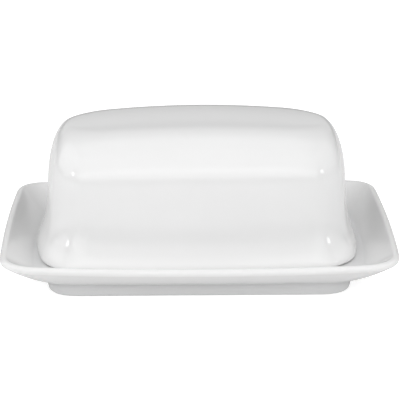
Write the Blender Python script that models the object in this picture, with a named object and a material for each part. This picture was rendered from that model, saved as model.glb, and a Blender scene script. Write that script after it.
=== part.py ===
"""Porcelain butter dish: a long tray on a foot ring, and a loose hollow cover that stands in its well.

Lengths are in metres. +Z is up, +X runs along the dish and +Y points to its back. The origin is the
middle of the foot ring's underside. Each piece is one closed skin, lofted through level outlines: from
the middle of one face, round the edge, to the middle of the other face.
"""

from math import cos, pi, radians, sin, tan

import bmesh
import bpy
import numpy as np

# The cover, measured at its foot, where it is widest
COVER_LENGTH = 0.1622
COVER_WIDTH = 0.1004
COVER_HEIGHT = 0.0657
COVER_WALL = 0.0038
COVER_CORNER = 0.0175
COVER_END_BOW = 0.0082
COVER_SIDE_BOW = 0.0039
COVER_LIP_ROUND = 0.0013

# How the cover's walls leave its foot: the share of a flare that is left fades with height, to a power
END_FLARE = 0.0062
SIDE_FLARE = 0.0051
FLARE_HEIGHT = 0.0115
FLARE_POWER = 1.35
END_DRAFT = radians(0.2)
SIDE_DRAFT = radians(4)

# The cover's shoulder and crown. The crown's fall fades downwards as a power of the height.
END_SHOULDER_DROP = 0.0368
SIDE_SHOULDER_DROP = 0.0245
END_SHOULDER_REACH = 0.0122
SIDE_SHOULDER_REACH = 0.0220
SHOULDER_EASE = 2.2
CORNER_LOSS = 0.33
BOW_LEFT_AT_CROWN = 0.69
CROWN_ALONG = 0.0055
CROWN_ACROSS = 0.0050
CROWN_POWER = 3

# How the loose cover has been set down in the well
COVER_OFF_CENTRE = -0.0008
COVER_ASKEW = radians(1.5)
RESTING_GAP = 0.0003

# The tray's well, which the cover stands in
END_CLEARANCE = 0.0018
SIDE_CLEARANCE = 0.0020
WELL_CORNER = 0.0133
WELL_END_BOW = 0.0038
WELL_SIDE_BOW = 0.0025
WELL_FILLET = 0.0025

# The tray's walls and rim. The rim lifts towards its ends as a power of the distance from the middle.
TRAY_WALL = 0.0040
KNEE_SPREAD = 0.0016
END_WALL_RUN = 0.0146
SIDE_WALL_RUN = 0.0153
END_RIM_RISE = 0.0106
SIDE_RIM_RISE = 0.0084
RIM_LIFT_POWER = 2.4
RIM_RADIUS = 0.0019
RIM_CORNER = 0.0170
RIM_END_BOW = 0.0020
RIM_SIDE_BOW = 0.0013
BEAD_FROM = radians(135)
BEAD_TO = radians(-45)

# The foot ring
RECESS_DEPTH = 0.0075
FOOT_HEIGHT = 0.0069
FOOT_END_SETBACK = 0.0073
FOOT_SIDE_SETBACK = 0.0012
FOOT_CORNER = 0.0170
FOOT_TAPER = 0.0012
FOOT_ROUND = 0.0015
FOOT_FLAT = 0.0020

# How the curves are drawn
CORNER_EASE = 2.4
BOW_POWER = 4
CORNER_STEPS = 6
SIDE_STEPS = 8
COVER_WALL_STEPS = 7
SHOULDER_STEPS = 7
TRAY_WALL_STEPS = 6
UNDERSIDE_STEPS = 7
BEAD_STEPS = 8
ROUND_STEPS = 3
CROWN_SHARES = (0.72, 0.4)
FLOOR_SHARES = (0.45, 0.8)
SHARP_EDGE = radians(40)

# The glazed porcelain
TRAY_COLOUR = (0.86, 0.86, 0.85)
COVER_COLOUR = (0.87, 0.87, 0.86)
GLAZE_ROUGHNESS = 0.12

FLOOR_HEIGHT = RECESS_DEPTH + TRAY_WALL


def eased_arc(steps, ease=2.0):
    """Pairs (along, up) on a quarter of a superellipse, from (1, 0) to (0, 1). An ease of 2 is a circle."""
    angles = [0.5 * pi * step / steps for step in range(steps + 1)]
    return [(max(cos(a), 0.0) ** (2 / ease), max(sin(a), 0.0) ** (2 / ease)) for a in angles]


def quarter_round(radius):
    """Pairs (inset, height) round a bottom edge, from its upright face to its underside."""
    return [(radius * (1 - along), radius * (1 - up)) for along, up in eased_arc(ROUND_STEPS)]


def outline(half_length, half_width, corner, end_bow, side_bow):
    """Points anticlockwise round a rounded rectangle whose ends and sides bow out to the half sizes."""
    straight_x = half_length - end_bow
    straight_y = half_width - side_bow
    quarter = [
        (straight_x - corner + corner * along, straight_y - corner + corner * up)
        for along, up in eased_arc(CORNER_STEPS, CORNER_EASE)
    ]
    corners = [
        quarter,
        [(-x, y) for x, y in reversed(quarter)],
        [(-x, -y) for x, y in quarter],
        [(x, -y) for x, y in reversed(quarter)],
    ]
    points = []
    for index, arc in enumerate(corners):
        start = np.array(arc[-1])
        end = np.array(corners[(index + 1) % 4][0])
        points += [np.array(point) for point in arc]
        points += [start + (end - start) * step / SIDE_STEPS for step in range(1, SIDE_STEPS)]
    points = np.array(points)
    share_x = np.abs(points[:, 0]) / straight_x
    share_y = np.abs(points[:, 1]) / straight_y
    bow_x = end_bow * (1 - share_y**2) * share_x**BOW_POWER
    bow_y = side_bow * (1 - share_x**2) * share_y**BOW_POWER
    points[:, 0] += np.sign(points[:, 0]) * bow_x
    points[:, 1] += np.sign(points[:, 1]) * bow_y
    return points


def level(points, height):
    """A ring of points at one height, or at a height for each point."""
    heights = np.broadcast_to(height, len(points))
    return np.column_stack([points, heights])


def curved_between(first, middle, last, steps):
    """Rings on the quadratic curve that leaves the first ring towards the middle and ends at the last."""
    shares = [step / steps for step in range(1, steps)]
    return [first * (1 - s) ** 2 + middle * 2 * s * (1 - s) + last * s**2 for s in shares]


def loft(name, rings, first_middle, last_middle):
    """One closed object, skinned through the rings and fanned shut at a middle point on each face."""
    mesh = bmesh.new()
    loops = [[mesh.verts.new(point) for point in ring] for ring in rings]
    for loop, following in zip(loops, loops[1:]):
        for index in range(len(loop)):
            mesh.faces.new((loop[index - 1], loop[index], following[index], following[index - 1]))
    for middle, loop in ((first_middle, loops[0]), (last_middle, loops[-1])):
        hub = mesh.verts.new(middle)
        for index in range(len(loop)):
            mesh.faces.new((hub, loop[index - 1], loop[index]))
    bmesh.ops.recalc_face_normals(mesh, faces=mesh.faces)
    data = bpy.data.meshes.new(name)
    mesh.to_mesh(data)
    mesh.free()
    data.shade_smooth()
    data.set_sharp_from_angle(angle=SHARP_EDGE)
    piece = bpy.data.objects.new(name, data)
    bpy.context.scene.collection.objects.link(piece)
    return piece


def drawn_in(height, wall, drop, reach):
    """How far inside the outer wall a skin lies at a height: the wall, then round the shoulder's eased arc."""
    risen = min(max(height - (COVER_HEIGHT - drop), 0.0) / (drop - wall), 1.0)
    return wall + (reach - wall) * (1 - (1 - risen**SHOULDER_EASE) ** (1 / SHOULDER_EASE))


def cover_ring(height, wall=0.0, share=1.0):
    """One outline of the cover, at a height above its lip, inside its outer skin and drawn in to a share."""
    above_lip = max(height - COVER_LIP_ROUND, 0.0)
    flare_lost = 1 - np.exp(-((above_lip / FLARE_HEIGHT) ** FLARE_POWER))
    end_inset = drawn_in(height, wall, END_SHOULDER_DROP, END_SHOULDER_REACH)
    side_inset = drawn_in(height, wall, SIDE_SHOULDER_DROP, SIDE_SHOULDER_REACH)
    bow = 1 - (1 - BOW_LEFT_AT_CROWN) * end_inset / END_SHOULDER_REACH
    points = share * outline(
        COVER_LENGTH / 2 - above_lip * tan(END_DRAFT) - END_FLARE * flare_lost - end_inset,
        COVER_WIDTH / 2 - above_lip * tan(SIDE_DRAFT) - SIDE_FLARE * flare_lost - side_inset,
        COVER_CORNER - end_inset * CORNER_LOSS,
        COVER_END_BOW * bow,
        COVER_SIDE_BOW * bow,
    )
    fall_along = CROWN_ALONG * (points[:, 0] / (COVER_LENGTH / 2)) ** 2
    fall_across = CROWN_ACROSS * (points[:, 1] / (COVER_WIDTH / 2)) ** 2
    crowned = (height / (COVER_HEIGHT - wall)) ** CROWN_POWER
    return level(points, height - crowned * (fall_along + fall_across))


def cover_skin(wall):
    """Rings from the cover's foot to its crown, on its outside, or a wall's thickness inside it."""
    rise = (COVER_HEIGHT - END_SHOULDER_DROP - COVER_LIP_ROUND) / COVER_WALL_STEPS
    rings = [cover_ring(COVER_LIP_ROUND + rise * step, wall) for step in range(1, COVER_WALL_STEPS)]
    for _, up in eased_arc(SHOULDER_STEPS, SHOULDER_EASE):
        drop = wall + (END_SHOULDER_DROP - wall) * (1 - up)
        rings.append(cover_ring(COVER_HEIGHT - drop, wall))
    rings += [cover_ring(COVER_HEIGHT - wall, wall, share) for share in CROWN_SHARES]
    return rings


def cover_lip():
    """Rings round the cover's lip, from its outer face, under its flat foot, to its inner face."""
    turns = quarter_round(COVER_LIP_ROUND)
    outer = [cover_ring(height, inset) for inset, height in turns]
    inner = [cover_ring(height, COVER_WALL - inset) for inset, height in reversed(turns)]
    return outer + inner


def make_cover():
    """The hollow cover, built round its own middle with its lip at zero height."""
    rings = list(reversed(cover_skin(0.0))) + cover_lip() + cover_skin(COVER_WALL)
    top = (0, 0, COVER_HEIGHT)
    inside_top = (0, 0, COVER_HEIGHT - COVER_WALL)
    cover = loft("cover", rings, top, inside_top)
    cover.location = (COVER_OFF_CENTRE, 0, FLOOR_HEIGHT + RESTING_GAP)
    cover.rotation_euler = (0, 0, COVER_ASKEW)
    return cover


def well_outline(spread):
    """The edge of the well's flat floor, spread outwards by a distance."""
    return outline(
        COVER_LENGTH / 2 + END_CLEARANCE + spread,
        COVER_WIDTH / 2 + SIDE_CLEARANCE + spread,
        WELL_CORNER + spread,
        WELL_END_BOW,
        WELL_SIDE_BOW,
    )


def rim_ring(angle):
    """One outline round the rim's bead, at an angle above its outermost line. The rim lifts at its ends."""
    half_length = COVER_LENGTH / 2 + END_CLEARANCE + END_WALL_RUN
    half_width = COVER_WIDTH / 2 + SIDE_CLEARANCE + SIDE_WALL_RUN
    outermost = outline(half_length, half_width, RIM_CORNER, RIM_END_BOW, RIM_SIDE_BOW)
    drawn_in = RIM_RADIUS * (1 - cos(angle))
    points = outline(
        half_length - drawn_in, half_width - drawn_in, RIM_CORNER - drawn_in, RIM_END_BOW, RIM_SIDE_BOW
    )
    towards_end = (np.abs(outermost[:, 0]) / half_length) ** RIM_LIFT_POWER
    rise = SIDE_RIM_RISE + (END_RIM_RISE - SIDE_RIM_RISE) * towards_end
    return level(points, FLOOR_HEIGHT + rise - RIM_RADIUS + RIM_RADIUS * sin(angle))


def foot_ring(drawn_in, height):
    """One outline of the foot ring, drawn in from its top edge by a distance."""
    half_length = COVER_LENGTH / 2 + END_CLEARANCE - FOOT_END_SETBACK
    half_width = COVER_WIDTH / 2 + SIDE_CLEARANCE - FOOT_SIDE_SETBACK
    points = outline(half_length - drawn_in, half_width - drawn_in, FOOT_CORNER - drawn_in, 0, 0)
    return level(points, height)


def foot_profile():
    """Rings down the foot's outer face, across the flat that it stands on, and up inside its recess."""
    turns = quarter_round(FOOT_ROUND)
    flat_inside = FOOT_TAPER + FOOT_ROUND + FOOT_FLAT
    recess_side = flat_inside + FOOT_ROUND
    outer = [(FOOT_TAPER + inset, height) for inset, height in turns]
    inner = [(recess_side - inset, height) for inset, height in reversed(turns)]
    cove = [(recess_side + inset, RECESS_DEPTH - height) for inset, height in turns]
    return [foot_ring(0, FOOT_HEIGHT)] + [foot_ring(*place) for place in outer + inner + cove]


def make_tray():
    """The tray: floor, walls and rim from above, then its underside, foot ring and recess."""
    floor = [level(well_outline(0) * share, FLOOR_HEIGHT) for share in (*FLOOR_SHARES, 1)]
    wall_foot = level(well_outline(WELL_FILLET), FLOOR_HEIGHT)
    bead_turn = (BEAD_TO - BEAD_FROM) / BEAD_STEPS
    bead = [rim_ring(BEAD_FROM + bead_turn * step) for step in range(BEAD_STEPS + 1)]
    knee = level(well_outline(WELL_FILLET + KNEE_SPREAD), RECESS_DEPTH)
    foot = foot_profile()
    recess = [foot[-1] * (share, share, 1) for share in reversed(FLOOR_SHARES)]
    rings = floor
    rings += curved_between(floor[-1], wall_foot, bead[0], TRAY_WALL_STEPS)
    rings += bead
    rings += curved_between(bead[-1], knee, foot[0], UNDERSIDE_STEPS)
    rings += foot + recess
    return loft("tray", rings, (0, 0, FLOOR_HEIGHT), (0, 0, RECESS_DEPTH))


def porcelain(name, colour):
    """A glazed white porcelain, as a Principled material."""
    material = bpy.data.materials.new(name)
    material.use_nodes = True
    shader = material.node_tree.nodes["Principled BSDF"]
    shader.inputs["Base Color"].default_value = (*colour, 1)
    shader.inputs["Roughness"].default_value = GLAZE_ROUGHNESS
    shader.inputs["Metallic"].default_value = 0
    return material


def clear_scene():
    """Takes away whatever the scene holds."""
    for item in list(bpy.context.scene.objects):
        bpy.data.objects.remove(item, do_unlink=True)


clear_scene()
tray = make_tray()
tray.data.materials.append(porcelain("tray_porcelain", TRAY_COLOUR))
cover = make_cover()
cover.data.materials.append(porcelain("cover_porcelain", COVER_COLOUR))
bpy.context.view_layer.update()
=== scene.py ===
"""Looks of a porcelain butter dish: a glazed tray on a bare foot ring, and a loose glazed cover in its well.

Lengths are in metres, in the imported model's frame: +X runs along the dish, +Y points to its back and +Z
is up. Both pieces are skins through stacks of rounded outlines, worked out as whole arrays.
"""

import logging
from dataclasses import dataclass, field
from enum import Enum
from math import cos, pi, radians, sin, tan

import bpy
import numpy as np
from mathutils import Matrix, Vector


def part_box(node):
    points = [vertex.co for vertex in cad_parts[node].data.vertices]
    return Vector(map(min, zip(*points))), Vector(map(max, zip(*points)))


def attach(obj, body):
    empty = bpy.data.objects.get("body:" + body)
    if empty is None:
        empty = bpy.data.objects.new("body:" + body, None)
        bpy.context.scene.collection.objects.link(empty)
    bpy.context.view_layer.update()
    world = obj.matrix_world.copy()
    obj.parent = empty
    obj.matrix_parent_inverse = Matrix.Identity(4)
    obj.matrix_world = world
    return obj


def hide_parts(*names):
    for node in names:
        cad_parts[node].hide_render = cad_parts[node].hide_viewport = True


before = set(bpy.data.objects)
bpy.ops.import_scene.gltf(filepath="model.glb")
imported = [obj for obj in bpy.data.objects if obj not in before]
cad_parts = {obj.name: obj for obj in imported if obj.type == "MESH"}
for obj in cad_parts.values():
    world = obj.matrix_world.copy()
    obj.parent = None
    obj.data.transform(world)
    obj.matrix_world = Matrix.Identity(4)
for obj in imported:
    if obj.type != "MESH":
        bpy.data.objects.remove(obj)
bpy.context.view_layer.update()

log = logging.getLogger("butter_dish")


class Glazing(Enum):
    """What covers the porcelain at a place on a piece. The value is how bare the place is."""

    GLAZED = 0.0
    BARE = 1.0


def quarter_arc(steps: int, ease: float = 2.0) -> np.ndarray:
    """A quarter of a superellipse from (1, 0) to (0, 1): cosine and sine, each to the power 2 / ease.

    Args:
        steps: How many steps the quarter is drawn in.
        ease: 2 draws a circle, and more than 2 a squarer bend.

    Returns:
        Pairs (along, up), of shape (steps + 1, 2).
    """
    angle = np.linspace(0, pi / 2, steps + 1)
    return np.stack([np.cos(angle), np.sin(angle)], -1).clip(0, 1) ** (2 / ease)


@dataclass(frozen=True)
class RoundedOutline:
    """The places round a rounded rectangle whose ends and sides bow out.

    A place is a share of the straight core plus a share of the corner radius, so that a whole stack of
    outlines of different sizes comes from one pair of arrays.
    """

    corner_steps: int = 18
    side_steps: int = 40
    corner_ease: float = 2.4
    bow_power: int = 4

    def shares(self) -> tuple[np.ndarray, np.ndarray]:
        """The share of the core and of the corner radius at each place, anticlockwise.

        Returns:
            Two arrays of shape (places, 2). The second half of each is the first half turned by 180 degrees.
        """
        arc = quarter_arc(self.corner_steps, self.corner_ease)
        run = np.linspace(1, -1, self.side_steps + 1)[1:-1, None]
        still = np.ones_like(run)
        full = np.ones_like(arc)
        core = [full, np.hstack([run, still]), full * (-1, 1), np.hstack([-still, run])]
        turn = [arc, still * (0, 1), arc[::-1] * (-1, 1), still * (-1, 0)]
        half_core, half_turn = np.vstack(core), np.vstack(turn)
        return np.vstack([half_core, -half_core]), np.vstack([half_turn, -half_turn])

    def rings(
        self,
        half_length: np.ndarray,
        half_width: np.ndarray,
        corner: np.ndarray,
        end_bow: np.ndarray,
        side_bow: np.ndarray,
    ) -> np.ndarray:
        """A stack of outlines: core and corner shares, plus a bow that fades to nothing at the corners.

        The bow along an axis is its size, times one less the square of the share across, times the share
        along to the bow's power.

        Args:
            half_length: Half the length over the bowed ends, one for each ring.
            half_width: Half the width over the bowed sides, one for each ring.
            corner: The corner's radius, one for each ring.
            end_bow: How far the ends bow out, one for each ring.
            side_bow: How far the sides bow out, one for each ring.

        Returns:
            x and y of each point, of shape (rings, places, 2).
        """
        core, turn = self.shares()
        bow = np.stack([end_bow, side_bow], -1)[:, None, :]
        straight = np.stack([half_length, half_width], -1)[:, None, :] - bow
        radius = corner[:, None, None]
        points = core * (straight - radius) + turn * radius
        share = np.abs(points) / straight
        return points + np.sign(points) * bow * (1 - share[..., ::-1] ** 2) * share**self.bow_power


OUTLINE = RoundedOutline()


@dataclass
class Skin:
    """Rings that a closed piece is skinned through, with what the glaze does on each ring."""

    points: np.ndarray
    bare: np.ndarray
    pooled: np.ndarray
    first_middle: tuple[float, float, float]
    last_middle: tuple[float, float, float]

    def turned(self, angle: float) -> "Skin":
        """The same skin, turned about the vertical through its middle by an angle in radians."""
        turn = np.array([[cos(angle), -sin(angle), 0], [sin(angle), cos(angle), 0], [0, 0, 1]])
        return Skin(self.points @ turn.T, self.bare, self.pooled, self.first_middle, self.last_middle)

    def build(self, name: str, shift: Vector) -> bpy.types.Object:
        """One closed object, shifted into place in its mesh.

        Point j of ring i makes a quad with points j + 1 of ring i and of ring i + 1. A fan round a middle
        point closes the first ring and another the last one.

        Args:
            name: The object's name.
            shift: Where the skin's own origin comes to lie.

        Returns:
            The object, linked to the scene, with its origin at the frame's origin.
        """
        rows, columns, _ = self.points.shape
        grid = np.arange(rows * columns).reshape(rows, columns)
        beside = np.roll(grid, -1, 1)
        quads = np.stack([grid[:-1], grid[1:], beside[1:], beside[:-1]], -1).reshape(-1, 4)
        hubs = np.full((2, columns), [[rows * columns], [rows * columns + 1]])
        fans = np.vstack(
            [
                np.stack([hubs[0], grid[0], beside[0]], -1),
                np.stack([hubs[1], beside[-1], grid[-1]], -1),
            ]
        )
        flat = self.points.reshape(-1, 3)
        places = np.vstack([flat, self.first_middle, self.last_middle]) + np.array(shift)
        mesh = bpy.data.meshes.new(name)
        mesh.from_pydata(places, [], [*quads.tolist(), *fans.tolist()])
        for label, rings in (("bare", self.bare), ("pooled", self.pooled)):
            layer = mesh.attributes.new(label, "FLOAT", "POINT")
            layer.data.foreach_set("value", np.append(np.repeat(rings, columns), [rings[0], rings[-1]]))
        mesh.shade_smooth()
        mesh.validate()
        piece = bpy.data.objects.new(name, mesh)
        bpy.context.scene.collection.objects.link(piece)
        return piece


@dataclass(frozen=True)
class Porcelain:
    """Glazed white porcelain: a clear gloss skin over a white body that shows where the glaze stops.

    The piece's "bare" attribute says where the body has no glaze, and its "pooled" attribute where the
    glaze has run thick (above nought) or thin (below it).
    """

    name: str
    body_colour: tuple[float, float, float] = (0.80, 0.80, 0.80)
    cloud_colour: tuple[float, float, float] = (0.785, 0.785, 0.785)
    thick_colour: tuple[float, float, float] = (0.74, 0.742, 0.745)
    thin_colour: tuple[float, float, float] = (0.82, 0.818, 0.815)
    bare_colour: tuple[float, float, float] = (0.70, 0.69, 0.67)
    grime_colour: tuple[float, float, float] = (0.52, 0.51, 0.49)
    gloss_roughness: float = 0.11
    dull_roughness: float = 0.16
    bare_roughness: float = 0.62
    refraction: float = 1.5
    cloud_scale: float = 14.0
    cloud_detail: float = 3.0
    cloud_colour_span: tuple[float, float] = (0.35, 0.65)
    cloud_gloss_span: tuple[float, float] = (0.3, 0.7)
    ripple_scale: float = 95.0
    ripple_detail: float = 1.0
    ripple_height: float = 0.000035
    grit_scale: float = 2600.0
    grit_detail: float = 4.0
    grit_height: float = 0.00003
    grime_span: tuple[float, float] = (0.45, 0.75)
    edge_raggedness: float = 0.25
    edge_span: tuple[float, float] = (0.4, 0.6)

    def make(self) -> bpy.types.Material:
        """The finish as a material, on Object coordinates and the piece's own attributes.

        Returns:
            A material with one Principled shader.
        """
        material = bpy.data.materials.new(self.name)
        material.use_nodes = True
        tree = material.node_tree
        shader = tree.nodes["Principled BSDF"]
        shader.inputs["IOR"].default_value = self.refraction
        place = tree.nodes.new("ShaderNodeTexCoord").outputs["Object"]
        bare = self.attribute(tree, "bare")
        pooled = self.attribute(tree, "pooled")
        clouds = self.noise(tree, place, self.cloud_scale, self.cloud_detail)
        ripples = self.noise(tree, place, self.ripple_scale, self.ripple_detail)
        grit = self.noise(tree, place, self.grit_scale, self.grit_detail)

        cloudy = self.ranged(tree, clouds, *self.cloud_colour_span)
        glazed = self.mixed(tree, cloudy, self.body_colour, self.cloud_colour)
        glazed = self.mixed(tree, self.ranged(tree, pooled, 0.0, 1.0), glazed, self.thick_colour)
        glazed = self.mixed(tree, self.ranged(tree, pooled, 0.0, -1.0), glazed, self.thin_colour)
        grimy = self.ranged(tree, grit, *self.grime_span)
        worn = self.mixed(tree, grimy, self.bare_colour, self.grime_colour)
        reach = self.edge_raggedness
        jitter = self.ranged(tree, clouds, *self.cloud_gloss_span, -reach, reach)
        bareness = self.ranged(tree, self.added(tree, bare, jitter), *self.edge_span)
        tree.links.new(self.mixed(tree, bareness, glazed, worn), shader.inputs["Base Color"])

        gloss = self.ranged(tree, clouds, *self.cloud_gloss_span, self.gloss_roughness, self.dull_roughness)
        rough = tree.nodes.new("ShaderNodeMix")
        tree.links.new(bareness, rough.inputs["Factor"])
        tree.links.new(gloss, rough.inputs["A"])
        rough.inputs["B"].default_value = self.bare_roughness
        tree.links.new(rough.outputs["Result"], shader.inputs["Roughness"])

        rippled = self.bump(tree, ripples, self.ripple_height, None)
        gritty = self.bump(tree, grit, self.grit_height, rippled)
        tree.links.new(bareness, gritty.node.inputs["Strength"])
        tree.links.new(gritty, shader.inputs["Normal"])
        return material

    @staticmethod
    def attribute(tree: bpy.types.NodeTree, label: str) -> bpy.types.NodeSocket:
        """The piece's own number of that name, at each place."""
        node = tree.nodes.new("ShaderNodeAttribute")
        node.attribute_name = label
        return node.outputs["Fac"]

    @staticmethod
    def noise(
        tree: bpy.types.NodeTree, place: bpy.types.NodeSocket, scale: float, detail: float
    ) -> bpy.types.NodeSocket:
        """Soft noise about a half, with so many waves to the metre and so many finer layers."""
        node = tree.nodes.new("ShaderNodeTexNoise")
        node.inputs["Scale"].default_value = scale
        node.inputs["Detail"].default_value = detail
        tree.links.new(place, node.inputs["Vector"])
        return node.outputs["Fac"]

    @staticmethod
    def ranged(
        tree: bpy.types.NodeTree,
        value: bpy.types.NodeSocket,
        start: float,
        end: float,
        first: float = 0.0,
        last: float = 1.0,
    ) -> bpy.types.NodeSocket:
        """The value's way from start to end, as the way from first to last, and held beyond them."""
        node = tree.nodes.new("ShaderNodeMapRange")
        for label, number in (("From Min", start), ("From Max", end), ("To Min", first), ("To Max", last)):
            node.inputs[label].default_value = number
        tree.links.new(value, node.inputs["Value"])
        return node.outputs["Result"]

    @staticmethod
    def added(
        tree: bpy.types.NodeTree, one: bpy.types.NodeSocket, other: bpy.types.NodeSocket
    ) -> bpy.types.NodeSocket:
        """The sum of two values."""
        node = tree.nodes.new("ShaderNodeMath")
        tree.links.new(one, node.inputs[0])
        tree.links.new(other, node.inputs[1])
        return node.outputs["Value"]

    @staticmethod
    def mixed(
        tree: bpy.types.NodeTree,
        share: bpy.types.NodeSocket,
        under: bpy.types.NodeSocket | tuple[float, float, float],
        over: bpy.types.NodeSocket | tuple[float, float, float],
    ) -> bpy.types.NodeSocket:
        """The colour that lies the given share of the way from one colour to another.

        Args:
            tree: The material's nodes.
            share: Nought for the colour under, one for the colour over.
            under: A colour or another node's colour.
            over: A colour or another node's colour.

        Returns:
            The mixed colour's socket.
        """
        node = tree.nodes.new("ShaderNodeMix")
        node.data_type = "RGBA"
        tree.links.new(share, node.inputs["Factor"])
        colours = [socket for socket in node.inputs if socket.type == "RGBA"]
        for socket, colour in zip(colours, (under, over)):
            if isinstance(colour, tuple):
                socket.default_value = (*colour, 1)
            else:
                tree.links.new(colour, socket)
        return next(socket for socket in node.outputs if socket.type == "RGBA")

    @staticmethod
    def bump(
        tree: bpy.types.NodeTree,
        relief: bpy.types.NodeSocket,
        height: float,
        under: bpy.types.NodeSocket | None,
    ) -> bpy.types.NodeSocket:
        """Surface relief of that height in metres, on top of another relief where there is one."""
        node = tree.nodes.new("ShaderNodeBump")
        node.inputs["Distance"].default_value = height
        tree.links.new(relief, node.inputs["Height"])
        if under is not None:
            tree.links.new(under, node.inputs["Normal"])
        return node.outputs["Normal"]


@dataclass
class Cover:
    """The loose hollow cover: flared walls, a broad shoulder, a crowned top and a bare flat lip."""

    finish: Porcelain = field(default_factory=lambda: Porcelain("cover_glaze"))
    length: float = 0.1622
    width: float = 0.1004
    height: float = 0.0657
    wall: float = 0.0038
    corner: float = 0.0175
    end_bow: float = 0.0082
    side_bow: float = 0.0039
    lip_round: float = 0.0013
    end_flare: float = 0.0062
    side_flare: float = 0.0051
    flare_height: float = 0.0115
    flare_power: float = 1.35
    end_draft: float = radians(0.2)
    side_draft: float = radians(4)
    end_shoulder_drop: float = 0.0368
    end_shoulder_reach: float = 0.0122
    side_shoulder_drop: float = 0.0245
    side_shoulder_reach: float = 0.0220
    shoulder_ease: float = 2.2
    corner_loss: float = 0.33
    bow_left_at_crown: float = 0.69
    crown_along: float = 0.0055
    crown_across: float = 0.0050
    crown_power: int = 3
    askew: float = radians(1.5)
    wall_steps: int = 22
    shoulder_steps: int = 26
    lip_steps: int = 6
    crown_steps: int = 12
    lip_thinness: float = 0.7
    lip_thin_turns: float = 2.0

    def drawn_in(self, height: np.ndarray, wall: np.ndarray, drop: float, reach: float) -> np.ndarray:
        """How far a skin lies inside the outer wall: the wall, then round the shoulder's eased arc.

        The share drawn in is one less the root of one less a power of the share risen.

        Args:
            height: The height of each ring above the lip.
            wall: How far each ring's skin lies inside the outer one.
            drop: How far below the crown the shoulder starts.
            reach: How far in it ends.

        Returns:
            One distance for each ring.
        """
        risen = np.clip((height - (self.height - drop)) / (drop - wall), 0, 1)
        turned = 1 - (1 - risen**self.shoulder_ease) ** (1 / self.shoulder_ease)
        return wall + (reach - wall) * turned

    def rings(self, height: np.ndarray, wall: np.ndarray, share: np.ndarray) -> np.ndarray:
        """Outlines of the cover at heights above its lip, inside its outer skin and drawn in to the shares.

        The foot's flare fades as one less e to the minus power of the height over the flare's height. The
        crown falls with the square of the way along and of the way across, by a power of the height.

        Args:
            height: The height of each ring above the lip.
            wall: How far each ring's skin lies inside the outer one.
            share: What each ring is shrunk to about the middle.

        Returns:
            Points of shape (rings, places, 3).
        """
        above = np.maximum(height - self.lip_round, 0)
        lost = 1 - np.exp(-((above / self.flare_height) ** self.flare_power))
        end_inset = self.drawn_in(height, wall, self.end_shoulder_drop, self.end_shoulder_reach)
        side_inset = self.drawn_in(height, wall, self.side_shoulder_drop, self.side_shoulder_reach)
        bow = 1 - (1 - self.bow_left_at_crown) * end_inset / self.end_shoulder_reach
        flat = OUTLINE.rings(
            self.length / 2 - above * tan(self.end_draft) - self.end_flare * lost - end_inset,
            self.width / 2 - above * tan(self.side_draft) - self.side_flare * lost - side_inset,
            self.corner - end_inset * self.corner_loss,
            self.end_bow * bow,
            self.side_bow * bow,
        )
        flat = flat * share[:, None, None]
        fall = self.crown_along * (flat[..., 0] / (self.length / 2)) ** 2
        fall = fall + self.crown_across * (flat[..., 1] / (self.width / 2)) ** 2
        crowned = (height / (self.height - wall)) ** self.crown_power
        level = height[:, None] - crowned[:, None] * fall
        return np.concatenate([flat, level[..., None]], -1)

    def upper_skin(self, wall: float) -> np.ndarray:
        """Rings up the walls, over the shoulder and in to the middle, a wall's thickness inside the outside.

        Args:
            wall: Nought for the outer skin.

        Returns:
            Points of shape (rings, places, 3).
        """
        up_wall = np.linspace(self.lip_round, self.height - self.end_shoulder_drop, self.wall_steps + 1)[1:-1]
        up = quarter_arc(self.shoulder_steps, self.shoulder_ease)[:, 1]
        over = self.height - wall - (self.end_shoulder_drop - wall) * (1 - up)
        share = np.linspace(1, 0, self.crown_steps + 1)[1:-1]
        height = np.concatenate([up_wall, over, np.full_like(share, self.height - wall)])
        shares = np.concatenate([np.ones_like(up_wall), np.ones_like(up), share])
        return self.rings(height, np.full_like(height, wall), shares)

    def lip(self) -> np.ndarray:
        """Rings round the lip, from the outer face, under its flat and up to the inner face."""
        along, up = self.lip_round * quarter_arc(self.lip_steps).T
        height = np.concatenate([self.lip_round - up, (self.lip_round - up)[::-1]])
        inset = np.concatenate([self.lip_round - along, self.wall - (self.lip_round - along)[::-1]])
        return self.rings(height, inset, np.ones_like(height))

    def skin(self) -> Skin:
        """The whole closed skin, with bare porcelain on the lip's flat and thin glaze on its turns."""
        outer = self.upper_skin(0.0)[::-1]
        lip = self.lip()
        inner = self.upper_skin(self.wall)
        points = np.concatenate([outer, lip, inner])
        way = np.arange(len(points)) - len(outer)
        on_flat = (way >= self.lip_steps - 1) & (way <= self.lip_steps + 2)
        bare = np.where(on_flat, Glazing.BARE.value, Glazing.GLAZED.value)
        edge = np.exp(-(((way - self.lip_steps) / (self.lip_thin_turns * self.lip_steps)) ** 2))
        pooled = -self.lip_thinness * edge
        return Skin(points, bare, pooled, (0, 0, self.height), (0, 0, self.height - self.wall))

    def build(self) -> bpy.types.Object:
        """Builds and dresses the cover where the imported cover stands.

        Returns:
            The finished piece, riding on its own body.
        """
        low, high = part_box("cover")
        shift = Vector(((low.x + high.x) / 2, (low.y + high.y) / 2, low.z))
        piece = self.skin().turned(self.askew).build("glazed_cover", shift)
        piece.data.materials.append(self.finish.make())
        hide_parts("cover")
        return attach(piece, "cover")


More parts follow.
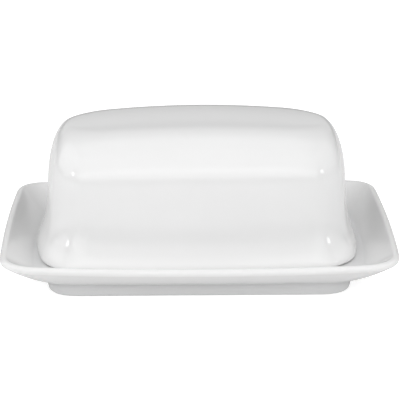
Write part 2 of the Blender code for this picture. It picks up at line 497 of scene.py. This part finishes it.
@dataclass
class Tray:
    """The tray: a flat well, sloped walls up to a beaded rim that lifts at both ends, and a foot ring."""

    finish: Porcelain = field(default_factory=lambda: Porcelain("tray_glaze"))
    floor_length: float = 0.1658
    floor_width: float = 0.1044
    floor_corner: float = 0.0133
    floor_end_bow: float = 0.0038
    floor_side_bow: float = 0.0025
    fillet: float = 0.0025
    wall: float = 0.0040
    knee_spread: float = 0.0016
    end_wall_run: float = 0.0146
    side_wall_run: float = 0.0153
    end_rim_rise: float = 0.0106
    side_rim_rise: float = 0.0084
    rim_lift_power: float = 2.4
    rim_radius: float = 0.0019
    rim_corner: float = 0.0170
    rim_end_bow: float = 0.0020
    rim_side_bow: float = 0.0013
    bead_from: float = radians(135)
    bead_to: float = radians(-45)
    recess_depth: float = 0.0075
    foot_height: float = 0.0069
    foot_end_setback: float = 0.0073
    foot_side_setback: float = 0.0012
    foot_corner: float = 0.0170
    foot_taper: float = 0.0012
    foot_round: float = 0.0015
    foot_flat: float = 0.0020
    floor_steps: int = 16
    wall_steps: int = 20
    bead_steps: int = 24
    underside_steps: int = 24
    round_steps: int = 6
    well_pool_rings: float = 4.0
    foot_pool_rings: float = 3.0
    rim_thinness: float = 0.7
    rim_thin_share: float = 0.6

    @property
    def floor_height(self) -> float:
        """How high the well's floor lies above what the dish stands on."""
        return self.recess_depth + self.wall

    @staticmethod
    def spread(value: float, count: int) -> np.ndarray:
        """The same value for each of so many rings."""
        return np.full(count, value)

    def floor_outline(self, spread: float, height: float) -> np.ndarray:
        """The edge of the well's floor, spread outwards by a distance, as one ring at a height."""
        flat = OUTLINE.rings(
            self.spread(self.floor_length / 2 + spread, 1),
            self.spread(self.floor_width / 2 + spread, 1),
            self.spread(self.floor_corner + spread, 1),
            self.spread(self.floor_end_bow, 1),
            self.spread(self.floor_side_bow, 1),
        )
        return np.concatenate([flat, np.full((*flat.shape[:2], 1), height)], -1)

    def bead(self) -> np.ndarray:
        """Rings round the rim's bead: a circle carried along the rim, which lifts towards its ends.

        The lift is a power of the way from the middle to the end of the outermost outline.

        Returns:
            Points of shape (rings, places, 3).
        """
        angle = np.linspace(self.bead_from, self.bead_to, self.bead_steps + 1)
        count = len(angle)
        half_length = self.floor_length / 2 + self.end_wall_run
        half_width = self.floor_width / 2 + self.side_wall_run
        drawn_in = self.rim_radius * (1 - np.cos(angle))
        bows = self.spread(self.rim_end_bow, count), self.spread(self.rim_side_bow, count)
        flat = OUTLINE.rings(half_length - drawn_in, half_width - drawn_in, self.rim_corner - drawn_in, *bows)
        outermost = OUTLINE.rings(
            self.spread(half_length, count),
            self.spread(half_width, count),
            self.spread(self.rim_corner, count),
            *bows,
        )
        towards_end = (np.abs(outermost[..., 0]) / half_length) ** self.rim_lift_power
        rise = self.side_rim_rise + (self.end_rim_rise - self.side_rim_rise) * towards_end
        level = self.floor_height + rise - self.rim_radius + (self.rim_radius * np.sin(angle))[:, None]
        return np.concatenate([flat, level[..., None]], -1)

    def foot(self) -> np.ndarray:
        """Rings down the foot's outer face, across the flat that it stands on, and up into its recess.

        Returns:
            Points of shape (rings, places, 3).
        """
        inset, height = (self.foot_round * (1 - quarter_arc(self.round_steps))).T
        recess_side = self.foot_taper + 2 * self.foot_round + self.foot_flat
        faces = [self.foot_taper + inset, recess_side - inset[::-1], recess_side + inset]
        drawn_in = np.concatenate([[0], *faces])
        level = np.concatenate([[self.foot_height], height, height[::-1], self.recess_depth - height])
        count = len(level)
        flat = OUTLINE.rings(
            self.floor_length / 2 - self.foot_end_setback - drawn_in,
            self.floor_width / 2 - self.foot_side_setback - drawn_in,
            self.foot_corner - drawn_in,
            self.spread(0.0, count),
            self.spread(0.0, count),
        )
        levels = np.broadcast_to(level[:, None, None], (*flat.shape[:2], 1))
        return np.concatenate([flat, levels], -1)

    @staticmethod
    def curved_between(first: np.ndarray, middle: np.ndarray, last: np.ndarray, steps: int) -> np.ndarray:
        """Rings on the quadratic curve that leaves one ring towards a middle one and ends at a third.

        Args:
            first: The ring that the curve leaves, of shape (places, 3).
            middle: The ring that it heads for.
            last: The ring that it ends at.
            steps: How many steps the curve is drawn in. Its two end rings aren't among them.

        Returns:
            Points of shape (steps - 1, places, 3).
        """
        way = np.linspace(0, 1, steps + 1)[1:-1, None, None]
        return first * (1 - way) ** 2 + middle * 2 * way * (1 - way) + last * way**2

    @staticmethod
    def towards_middle(ring: np.ndarray, steps: int) -> np.ndarray:
        """Rings that shrink evenly from an edge, which isn't among them, to just short of the middle."""
        share = np.linspace(1, 0, steps + 1)[1:-1, None, None]
        return ring * np.concatenate([share, share, np.ones_like(share)], -1)

    def skin(self) -> Skin:
        """The whole closed skin, with a bare foot, glaze run thick in the creases and thin on the rim."""
        floor_edge = self.floor_outline(0.0, self.floor_height)
        wall_foot = self.floor_outline(self.fillet, self.floor_height)[0]
        knee = self.floor_outline(self.fillet + self.knee_spread, self.recess_depth)[0]
        bead = self.bead()
        foot = self.foot()
        parts = [
            self.towards_middle(floor_edge[0], self.floor_steps)[::-1],
            floor_edge,
            self.curved_between(floor_edge[0], wall_foot, bead[0], self.wall_steps),
            bead,
            self.curved_between(bead[-1], knee, foot[0], self.underside_steps),
            foot,
            self.towards_middle(foot[-1], self.floor_steps),
        ]
        points = np.concatenate(parts)
        starts = np.cumsum([0, *map(len, parts)])
        way = np.arange(len(points))
        flat_from = starts[5] + 1 + self.round_steps
        on_flat = (way >= flat_from - 1) & (way <= flat_from + 2)
        bare = np.where(on_flat, Glazing.BARE.value, Glazing.GLAZED.value)
        in_well = np.exp(-(((way - starts[2]) / self.well_pool_rings) ** 2))
        over_foot = np.exp(-(((way - starts[5]) / self.foot_pool_rings) ** 2))
        in_recess = np.exp(-(((way - starts[6]) / self.well_pool_rings) ** 2))
        from_crest = way - (starts[3] + self.bead_steps / 2)
        on_rim = np.exp(-((from_crest / (self.rim_thin_share * self.bead_steps)) ** 2))
        pooled = in_well + over_foot + in_recess - self.rim_thinness * on_rim
        return Skin(points, bare, pooled, (0, 0, self.floor_height), (0, 0, self.recess_depth))

    def build(self) -> bpy.types.Object:
        """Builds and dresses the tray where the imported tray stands.

        Returns:
            The finished piece, riding on its own body.
        """
        low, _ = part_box("tray")
        piece = self.skin().build("glazed_tray", Vector((0, 0, low.z)))
        piece.data.materials.append(self.finish.make())
        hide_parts("tray")
        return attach(piece, "tray")


@dataclass(frozen=True)
class Softbox:
    """A rectangular soft light that faces the dish from a bearing, an elevation and a distance.

    The bearing is in degrees from the front, and more than nought is to the right. The brightness is that
    of the light's own face, so it stays the same when the light's size changes.
    """

    name: str
    bearing: float
    elevation: float
    distance: float
    width: float
    depth: float
    brightness: float

    def build(self, target: Vector) -> bpy.types.Object:
        """Hangs the light and points it at the target.

        Args:
            target: What the light faces.

        Returns:
            The light.
        """
        around, above = radians(self.bearing), radians(self.elevation)
        away = Vector((sin(around) * cos(above), -cos(around) * cos(above), sin(above)))
        data = bpy.data.lights.new(self.name, "AREA")
        data.shape = "RECTANGLE"
        data.size = self.width
        data.size_y = self.depth
        data.energy = self.brightness * pi * self.width * self.depth
        light = bpy.data.objects.new(self.name, data)
        light.location = target + away * self.distance
        light.rotation_euler = away.to_track_quat("Z", "Y").to_euler()
        bpy.context.scene.collection.objects.link(light)
        return light


@dataclass
class Studio:
    """A pale floor under a room that is brightest overhead, soft lights, and the camera.

    A graded wall of five wide lights stands in front of the dish, brightest at its second row from below.
    Its sides and its back have softer ones, and two small lamps low at the sides sparkle on the corners.
    """

    lights: tuple[Softbox, ...] = (
        Softbox("front_low", 0, 16, 1.0, 3.0, 0.18, 1.40),
        Softbox("front_mid", 0, 27, 1.0, 3.0, 0.20, 2.15),
        Softbox("front_high", 0, 39, 1.0, 3.0, 0.22, 1.00),
        Softbox("front_upper", 0, 53, 1.0, 3.0, 0.26, 0.80),
        Softbox("front_top", 0, 69, 1.0, 2.4, 0.30, 0.70),
        Softbox("overhead", 180, 84, 1.0, 1.6, 0.50, 0.70),
        Softbox("back_low", 180, 16, 0.9, 1.2, 0.25, 0.42),
        Softbox("left_lamp", -70, 13, 0.9, 0.06, 0.06, 18.0),
        Softbox("right_lamp", 70, 13, 0.9, 0.06, 0.06, 18.0),
        Softbox("left_side", -95, 26, 0.9, 0.7, 0.7, 1.20),
        Softbox("right_side", 95, 26, 0.9, 0.7, 0.7, 0.80),
    )
    focal_length: float = 154.3
    sensor_width: float = 36.0
    camera_bearing: float = -1.03
    camera_elevation: float = 18.72
    camera_distance: float = 0.8699
    camera_target: tuple[float, float, float] = (0.00096, 0.0, 0.03244)
    floor_radius: float = 6.0
    floor_rings: int = 40
    floor_sides: int = 96
    floor_roughness: float = 0.9
    floor_shine: float = 0.1
    floor_colour: tuple[float, float, float] = (0.82, 0.82, 0.82)
    floor_glow: float = 0.10
    floor_bleach: float = 0.55
    room_glow: float = 0.0
    ceiling_glow: float = 0.45

    def build(self) -> None:
        """Sets up the floor, the room, the lights and the camera."""
        self.floor()
        self.room()
        target = Vector(self.camera_target)
        for light in self.lights:
            light.build(target)
            log.info("light %s", light.name)
        self.camera(target)
        bpy.context.scene.view_settings.view_transform = "Standard"

    def floor(self) -> bpy.types.Object:
        """A round flat floor: circles about the origin whose radii grow as the square of their number.

        Returns:
            The floor.
        """
        angle = np.linspace(0, 2 * pi, self.floor_sides, endpoint=False)
        radius = self.floor_radius * np.linspace(0, 1, self.floor_rings + 1)[1:] ** 2
        across = radius[:, None] * np.cos(angle)
        deep = radius[:, None] * np.sin(angle)
        grid = np.arange(across.size).reshape(across.shape)
        beside = np.roll(grid, -1, 1)
        quads = np.stack([grid[:-1], grid[1:], beside[1:], beside[:-1]], -1).reshape(-1, 4)
        fan = np.stack([np.full_like(grid[0], across.size), grid[0], beside[0]], -1)
        places = np.stack([across.ravel(), deep.ravel(), np.zeros(across.size)], -1)
        mesh = bpy.data.meshes.new("floor")
        mesh.from_pydata(np.vstack([places, (0, 0, 0)]), [], [*quads.tolist(), *fan.tolist()])
        floor = bpy.data.objects.new("floor", mesh)
        bpy.context.scene.collection.objects.link(floor)
        material = bpy.data.materials.new("pale_floor")
        material.use_nodes = True
        shader = material.node_tree.nodes["Principled BSDF"]
        shader.inputs["Base Color"].default_value = (*self.floor_colour, 1)
        shader.inputs["Roughness"].default_value = self.floor_roughness
        shader.inputs["Specular IOR Level"].default_value = self.floor_shine
        shader.inputs["Emission Color"].default_value = (1, 1, 1, 1)
        level = material.node_tree.nodes.new("ShaderNodeMapRange")
        level.inputs["To Min"].default_value = self.floor_glow
        level.inputs["To Max"].default_value = self.floor_bleach
        seen = material.node_tree.nodes.new("ShaderNodeLightPath").outputs["Is Camera Ray"]
        material.node_tree.links.new(seen, level.inputs["Value"])
        material.node_tree.links.new(level.outputs["Result"], shader.inputs["Emission Strength"])
        mesh.materials.append(material)
        return floor

    def room(self) -> None:
        """A room that brightens towards its ceiling, and is plain white where it is seen.

        The light from a direction is the room's glow plus the ceiling's glow times the direction's height.
        """
        world = bpy.data.worlds.new("room")
        world.use_nodes = True
        bpy.context.scene.world = world
        tree = world.node_tree
        direction = tree.nodes.new("ShaderNodeTexCoord").outputs["Generated"]
        height = tree.nodes.new("ShaderNodeSeparateXYZ")
        tree.links.new(direction, height.inputs["Vector"])
        lit = tree.nodes.new("ShaderNodeMapRange")
        lit.inputs["To Min"].default_value = self.room_glow
        lit.inputs["To Max"].default_value = self.room_glow + self.ceiling_glow
        tree.links.new(height.outputs["Z"], lit.inputs["Value"])
        seen = tree.nodes.new("ShaderNodeMix")
        tree.links.new(tree.nodes.new("ShaderNodeLightPath").outputs["Is Camera Ray"], seen.inputs["Factor"])
        tree.links.new(lit.outputs["Result"], seen.inputs["A"])
        seen.inputs["B"].default_value = 1.0
        tree.links.new(seen.outputs["Result"], tree.nodes["Background"].inputs["Strength"])
        tree.nodes["Background"].inputs["Color"].default_value = (1, 1, 1, 1)

    def camera(self, target: Vector) -> bpy.types.Object:
        """A long lens on the dish from a little above the rim.

        Args:
            target: What the camera looks at.

        Returns:
            The scene's camera.
        """
        around, above = radians(self.camera_bearing), radians(self.camera_elevation)
        away = Vector((sin(around) * cos(above), -cos(around) * cos(above), sin(above)))
        data = bpy.data.cameras.new("camera")
        data.lens = self.focal_length
        data.sensor_width = self.sensor_width
        camera = bpy.data.objects.new("camera", data)
        camera.location = target + away * self.camera_distance
        camera.rotation_euler = away.to_track_quat("Z", "Y").to_euler()
        bpy.context.scene.collection.objects.link(camera)
        bpy.context.scene.camera = camera
        return camera


def main() -> None:
    """Builds the tray, the cover and the studio, and reports each piece."""
    logging.basicConfig(level=logging.INFO, format="%(name)s: %(message)s")
    for maker in (Tray(), Cover()):
        piece = maker.build()
        log.info("%s: %d faces", piece.name, len(piece.data.polygons))
    Studio().build()


if __name__ == "__main__":
    main()
